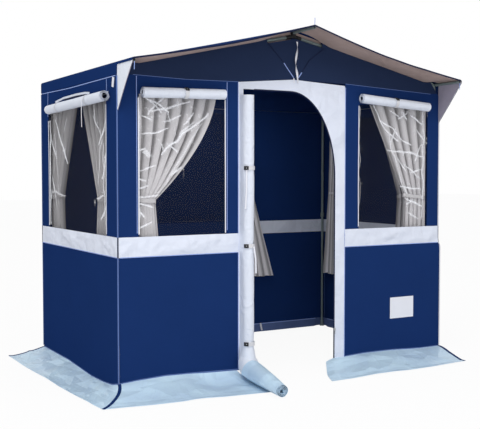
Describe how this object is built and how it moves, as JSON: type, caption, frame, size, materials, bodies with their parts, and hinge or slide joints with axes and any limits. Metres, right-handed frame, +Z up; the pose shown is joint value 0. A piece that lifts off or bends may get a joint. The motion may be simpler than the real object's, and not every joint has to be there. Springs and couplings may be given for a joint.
{
  "type": "kitchen tent",
  "caption": "Upright camping kitchen tent: cloth cabin with gabled roof, front visor, windows with roll-up covers, rolled-back door and mud skirt on a telescopic pole frame",
  "frame": {"origin": "centre of the whole footprint on the ground, with the skirt and the rolled door's tail", "axes": "+Z up, the door side faces -Y, +X to the right of a person who looks at the door"},
  "size_m": [2.815, 2.31, 2.265],
  "materials": {
    "navy_cloth": "satin",
    "white_cloth": "satin",
    "lining_cloth": "matte",
    "skirt_pvc": "satin",
    "window_pvc": "gloss",
    "curtain_cloth": "matte",
    "webbing": "matte",
    "frame_steel": "satin",
    "zinc": "satin",
    "black_plastic": "matte"
  },
  "bodies": {
    "shelter": {"roof_panel": "navy_cloth", "visor_lining": "lining_cloth", "front_wall": "navy_cloth", "left_wall": "navy_cloth", "right_wall": "navy_cloth", "rear_wall": "navy_cloth", "waist_band": "white_cloth", "door_surround": "white_cloth", "window_film_front_left": "window_pvc", "window_film_front_right": "window_pvc", "window_film_left": "window_pvc", "window_film_right": "window_pvc", "window_film_rear": "window_pvc", "curtain_wire": "frame_steel", "mud_skirt": "skirt_pvc", "leg_upper_front_left": "frame_steel", "leg_upper_front_right": "frame_steel", "leg_upper_rear_left": "frame_steel", "leg_upper_rear_right": "frame_steel", "rafter_front_left": "frame_steel", "rafter_front_right": "frame_steel", "rafter_rear_left": "frame_steel", "rafter_rear_right": "frame_steel", "ridge_joint_front": "black_plastic", "ridge_joint_rear": "black_plastic", "ridge_pole": "frame_steel", "eave_pole_left": "frame_steel", "eave_pole_right": "frame_steel"},
    "lower_leg_front_left": {"leg_lower_front_left": "frame_steel"},
    "lower_leg_front_right": {"leg_lower_front_right": "frame_steel"},
    "lower_leg_rear_left": {"leg_lower_rear_left": "frame_steel"},
    "lower_leg_rear_right": {"leg_lower_rear_right": "frame_steel"},
    "arm_left": {"visor_arm_left": "frame_steel"},
    "arm_ridge": {"visor_arm_ridge": "frame_steel"},
    "arm_right": {"visor_arm_right": "frame_steel"},
    "rolled_door": {"door_roll": "white_cloth", "door_strap_top": "webbing", "door_strap_middle": "webbing", "door_strap_bottom": "webbing"},
    "door_plug_top": {"door_buckle_plug_top": "black_plastic"},
    "door_plug_middle": {"door_buckle_plug_middle": "black_plastic"},
    "door_plug_bottom": {"door_buckle_plug_bottom": "black_plastic"},
    "rolled_cover_front_left": {"window_cover_roll_front_left": "white_cloth", "cover_strap_front_left": "webbing"},
    "rolled_cover_front_right": {"window_cover_roll_front_right": "white_cloth", "cover_strap_front_right": "webbing"},
    "rolled_cover_left": {"window_cover_roll_left": "white_cloth"},
    "cover_plug_front_left": {"cover_buckle_plug_front_left": "black_plastic"},
    "cover_plug_front_right": {"cover_buckle_plug_front_right": "black_plastic"},
    "cover_right": {"window_cover_right": "navy_cloth"},
    "cover_rear": {"window_cover_rear": "navy_cloth"},
    "slider": {"zip_slider": "zinc"},
    "hung_curtain_front_left": {"curtain_front_left": "curtain_cloth"},
    "hung_curtain_front_right": {"curtain_front_right": "curtain_cloth"},
    "hung_curtain_left_front": {"curtain_left_front": "curtain_cloth"},
    "hung_curtain_left_rear": {"curtain_left_rear": "curtain_cloth"},
    "hung_curtain_right_front": {"curtain_right_front": "curtain_cloth"},
    "hung_curtain_right_rear": {"curtain_right_rear": "curtain_cloth"},
    "hung_curtain_rear_left": {"curtain_rear_left": "curtain_cloth"},
    "hung_curtain_rear_right": {"curtain_rear_right": "curtain_cloth"}
  },
  "joints": [
    {"name": "leg_slide_front_left", "type": "slide", "parent": "shelter", "child": "lower_leg_front_left", "axis": [0, 0, 1], "range_m": [-0.05, 0.7]},
    {"name": "leg_slide_front_right", "type": "slide", "parent": "shelter", "child": "lower_leg_front_right", "axis": [0, 0, 1], "range_m": [-0.05, 0.7]},
    {"name": "leg_slide_rear_left", "type": "slide", "parent": "shelter", "child": "lower_leg_rear_left", "axis": [0, 0, 1], "range_m": [-0.05, 0.7]},
    {"name": "leg_slide_rear_right", "type": "slide", "parent": "shelter", "child": "lower_leg_rear_right", "axis": [0, 0, 1], "range_m": [-0.05, 0.7]},
    {"name": "visor_arm_slide_left", "type": "slide", "parent": "shelter", "child": "arm_left", "axis": [0, 1, 0], "range_m": [0, 0.15]},
    {"name": "visor_arm_slide_ridge", "type": "slide", "parent": "shelter", "child": "arm_ridge", "axis": [0, 1, 0], "range_m": [0, 0.15]},
    {"name": "visor_arm_slide_right", "type": "slide", "parent": "shelter", "child": "arm_right", "axis": [0, 1, 0], "range_m": [0, 0.15]},
    {"name": "rolled_door_swing", "type": "hinge", "parent": "shelter", "child": "rolled_door", "pos_m": [-0.3145, -0.5954, 1.82], "axis": [0, 0, -1], "range_deg": [0, 17]},
    {"name": "door_plug_slide_top", "type": "slide", "parent": "rolled_door", "child": "door_plug_top", "axis": [-0.5556, 0.8315, 0], "range_m": [0, 0.018]},
    {"name": "door_plug_slide_middle", "type": "slide", "parent": "rolled_door", "child": "door_plug_middle", "axis": [-0.5556, 0.8315, 0], "range_m": [0, 0.018]},
    {"name": "door_plug_slide_bottom", "type": "slide", "parent": "rolled_door", "child": "door_plug_bottom", "axis": [-0.5556, 0.8315, 0], "range_m": [0, 0.018]},
    {"name": "rolled_cover_swing_front_left", "type": "hinge", "parent": "shelter", "child": "rolled_cover_front_left", "pos_m": [-0.7205, -0.5954, 1.844], "axis": [-0.9998, 0, -0.018], "range_deg": [0, 35]},
    {"name": "rolled_cover_swing_front_right", "type": "hinge", "parent": "shelter", "child": "rolled_cover_front_right", "pos_m": [0.9265, -0.5954, 1.851], "axis": [-0.998, 0, 0.0638], "range_deg": [0, 35]},
    {"name": "rolled_cover_swing_left", "type": "hinge", "parent": "shelter", "child": "rolled_cover_left", "pos_m": [-1.1429, 0.046, 1.812], "axis": [0, 0.9999, -0.0168], "range_deg": [0, 35]},
    {"name": "cover_plug_slide_front_left", "type": "slide", "parent": "rolled_cover_front_left", "child": "cover_plug_front_left", "axis": [0, 0.8315, 0.5556], "range_m": [0, 0.018]},
    {"name": "cover_plug_slide_front_right", "type": "slide", "parent": "rolled_cover_front_right", "child": "cover_plug_front_right", "axis": [0, 0.8315, 0.5556], "range_m": [0, 0.018]},
    {"name": "cover_hinge_right", "type": "hinge", "parent": "shelter", "child": "cover_right", "pos_m": [1.3579, 0.145, 1.86], "axis": [0, -1, 0], "range_deg": [0, 90]},
    {"name": "cover_hinge_rear", "type": "hinge", "parent": "shelter", "child": "cover_rear", "pos_m": [0.0375, 0.8554, 1.86], "axis": [1, 0, 0], "range_deg": [0, 90]},
    {"name": "zip_slide", "type": "slide", "parent": "shelter", "child": "slider", "axis": [0, 0, 1], "range_m": [0, 1]},
    {"name": "curtain_slide_front_left", "type": "slide", "parent": "shelter", "child": "hung_curtain_front_left", "axis": [1, 0, 0], "range_m": [-0.06, 0.06]},
    {"name": "curtain_slide_front_right", "type": "slide", "parent": "shelter", "child": "hung_curtain_front_right", "axis": [1, 0, 0], "range_m": [-0.06, 0.03]},
    {"name": "curtain_slide_left_front", "type": "slide", "parent": "shelter", "child": "hung_curtain_left_front", "axis": [0, 1, 0], "range_m": [-0.06, 0.03]},
    {"name": "curtain_slide_left_rear", "type": "slide", "parent": "shelter", "child": "hung_curtain_left_rear", "axis": [0, 1, 0], "range_m": [-0.03, 0.03]},
    {"name": "curtain_slide_right_front", "type": "slide", "parent": "shelter", "child": "hung_curtain_right_front", "axis": [0, 1, 0], "range_m": [-0.06, 0.03]},
    {"name": "curtain_slide_right_rear", "type": "slide", "parent": "shelter", "child": "hung_curtain_right_rear", "axis": [0, 1, 0], "range_m": [-0.03, 0.03]},
    {"name": "curtain_slide_rear_left", "type": "slide", "parent": "shelter", "child": "hung_curtain_rear_left", "axis": [1, 0, 0], "range_m": [-0.06, 0.06]},
    {"name": "curtain_slide_rear_right", "type": "slide", "parent": "shelter", "child": "hung_curtain_rear_right", "axis": [1, 0, 0], "range_m": [-0.06, 0.06]}
  ]
}
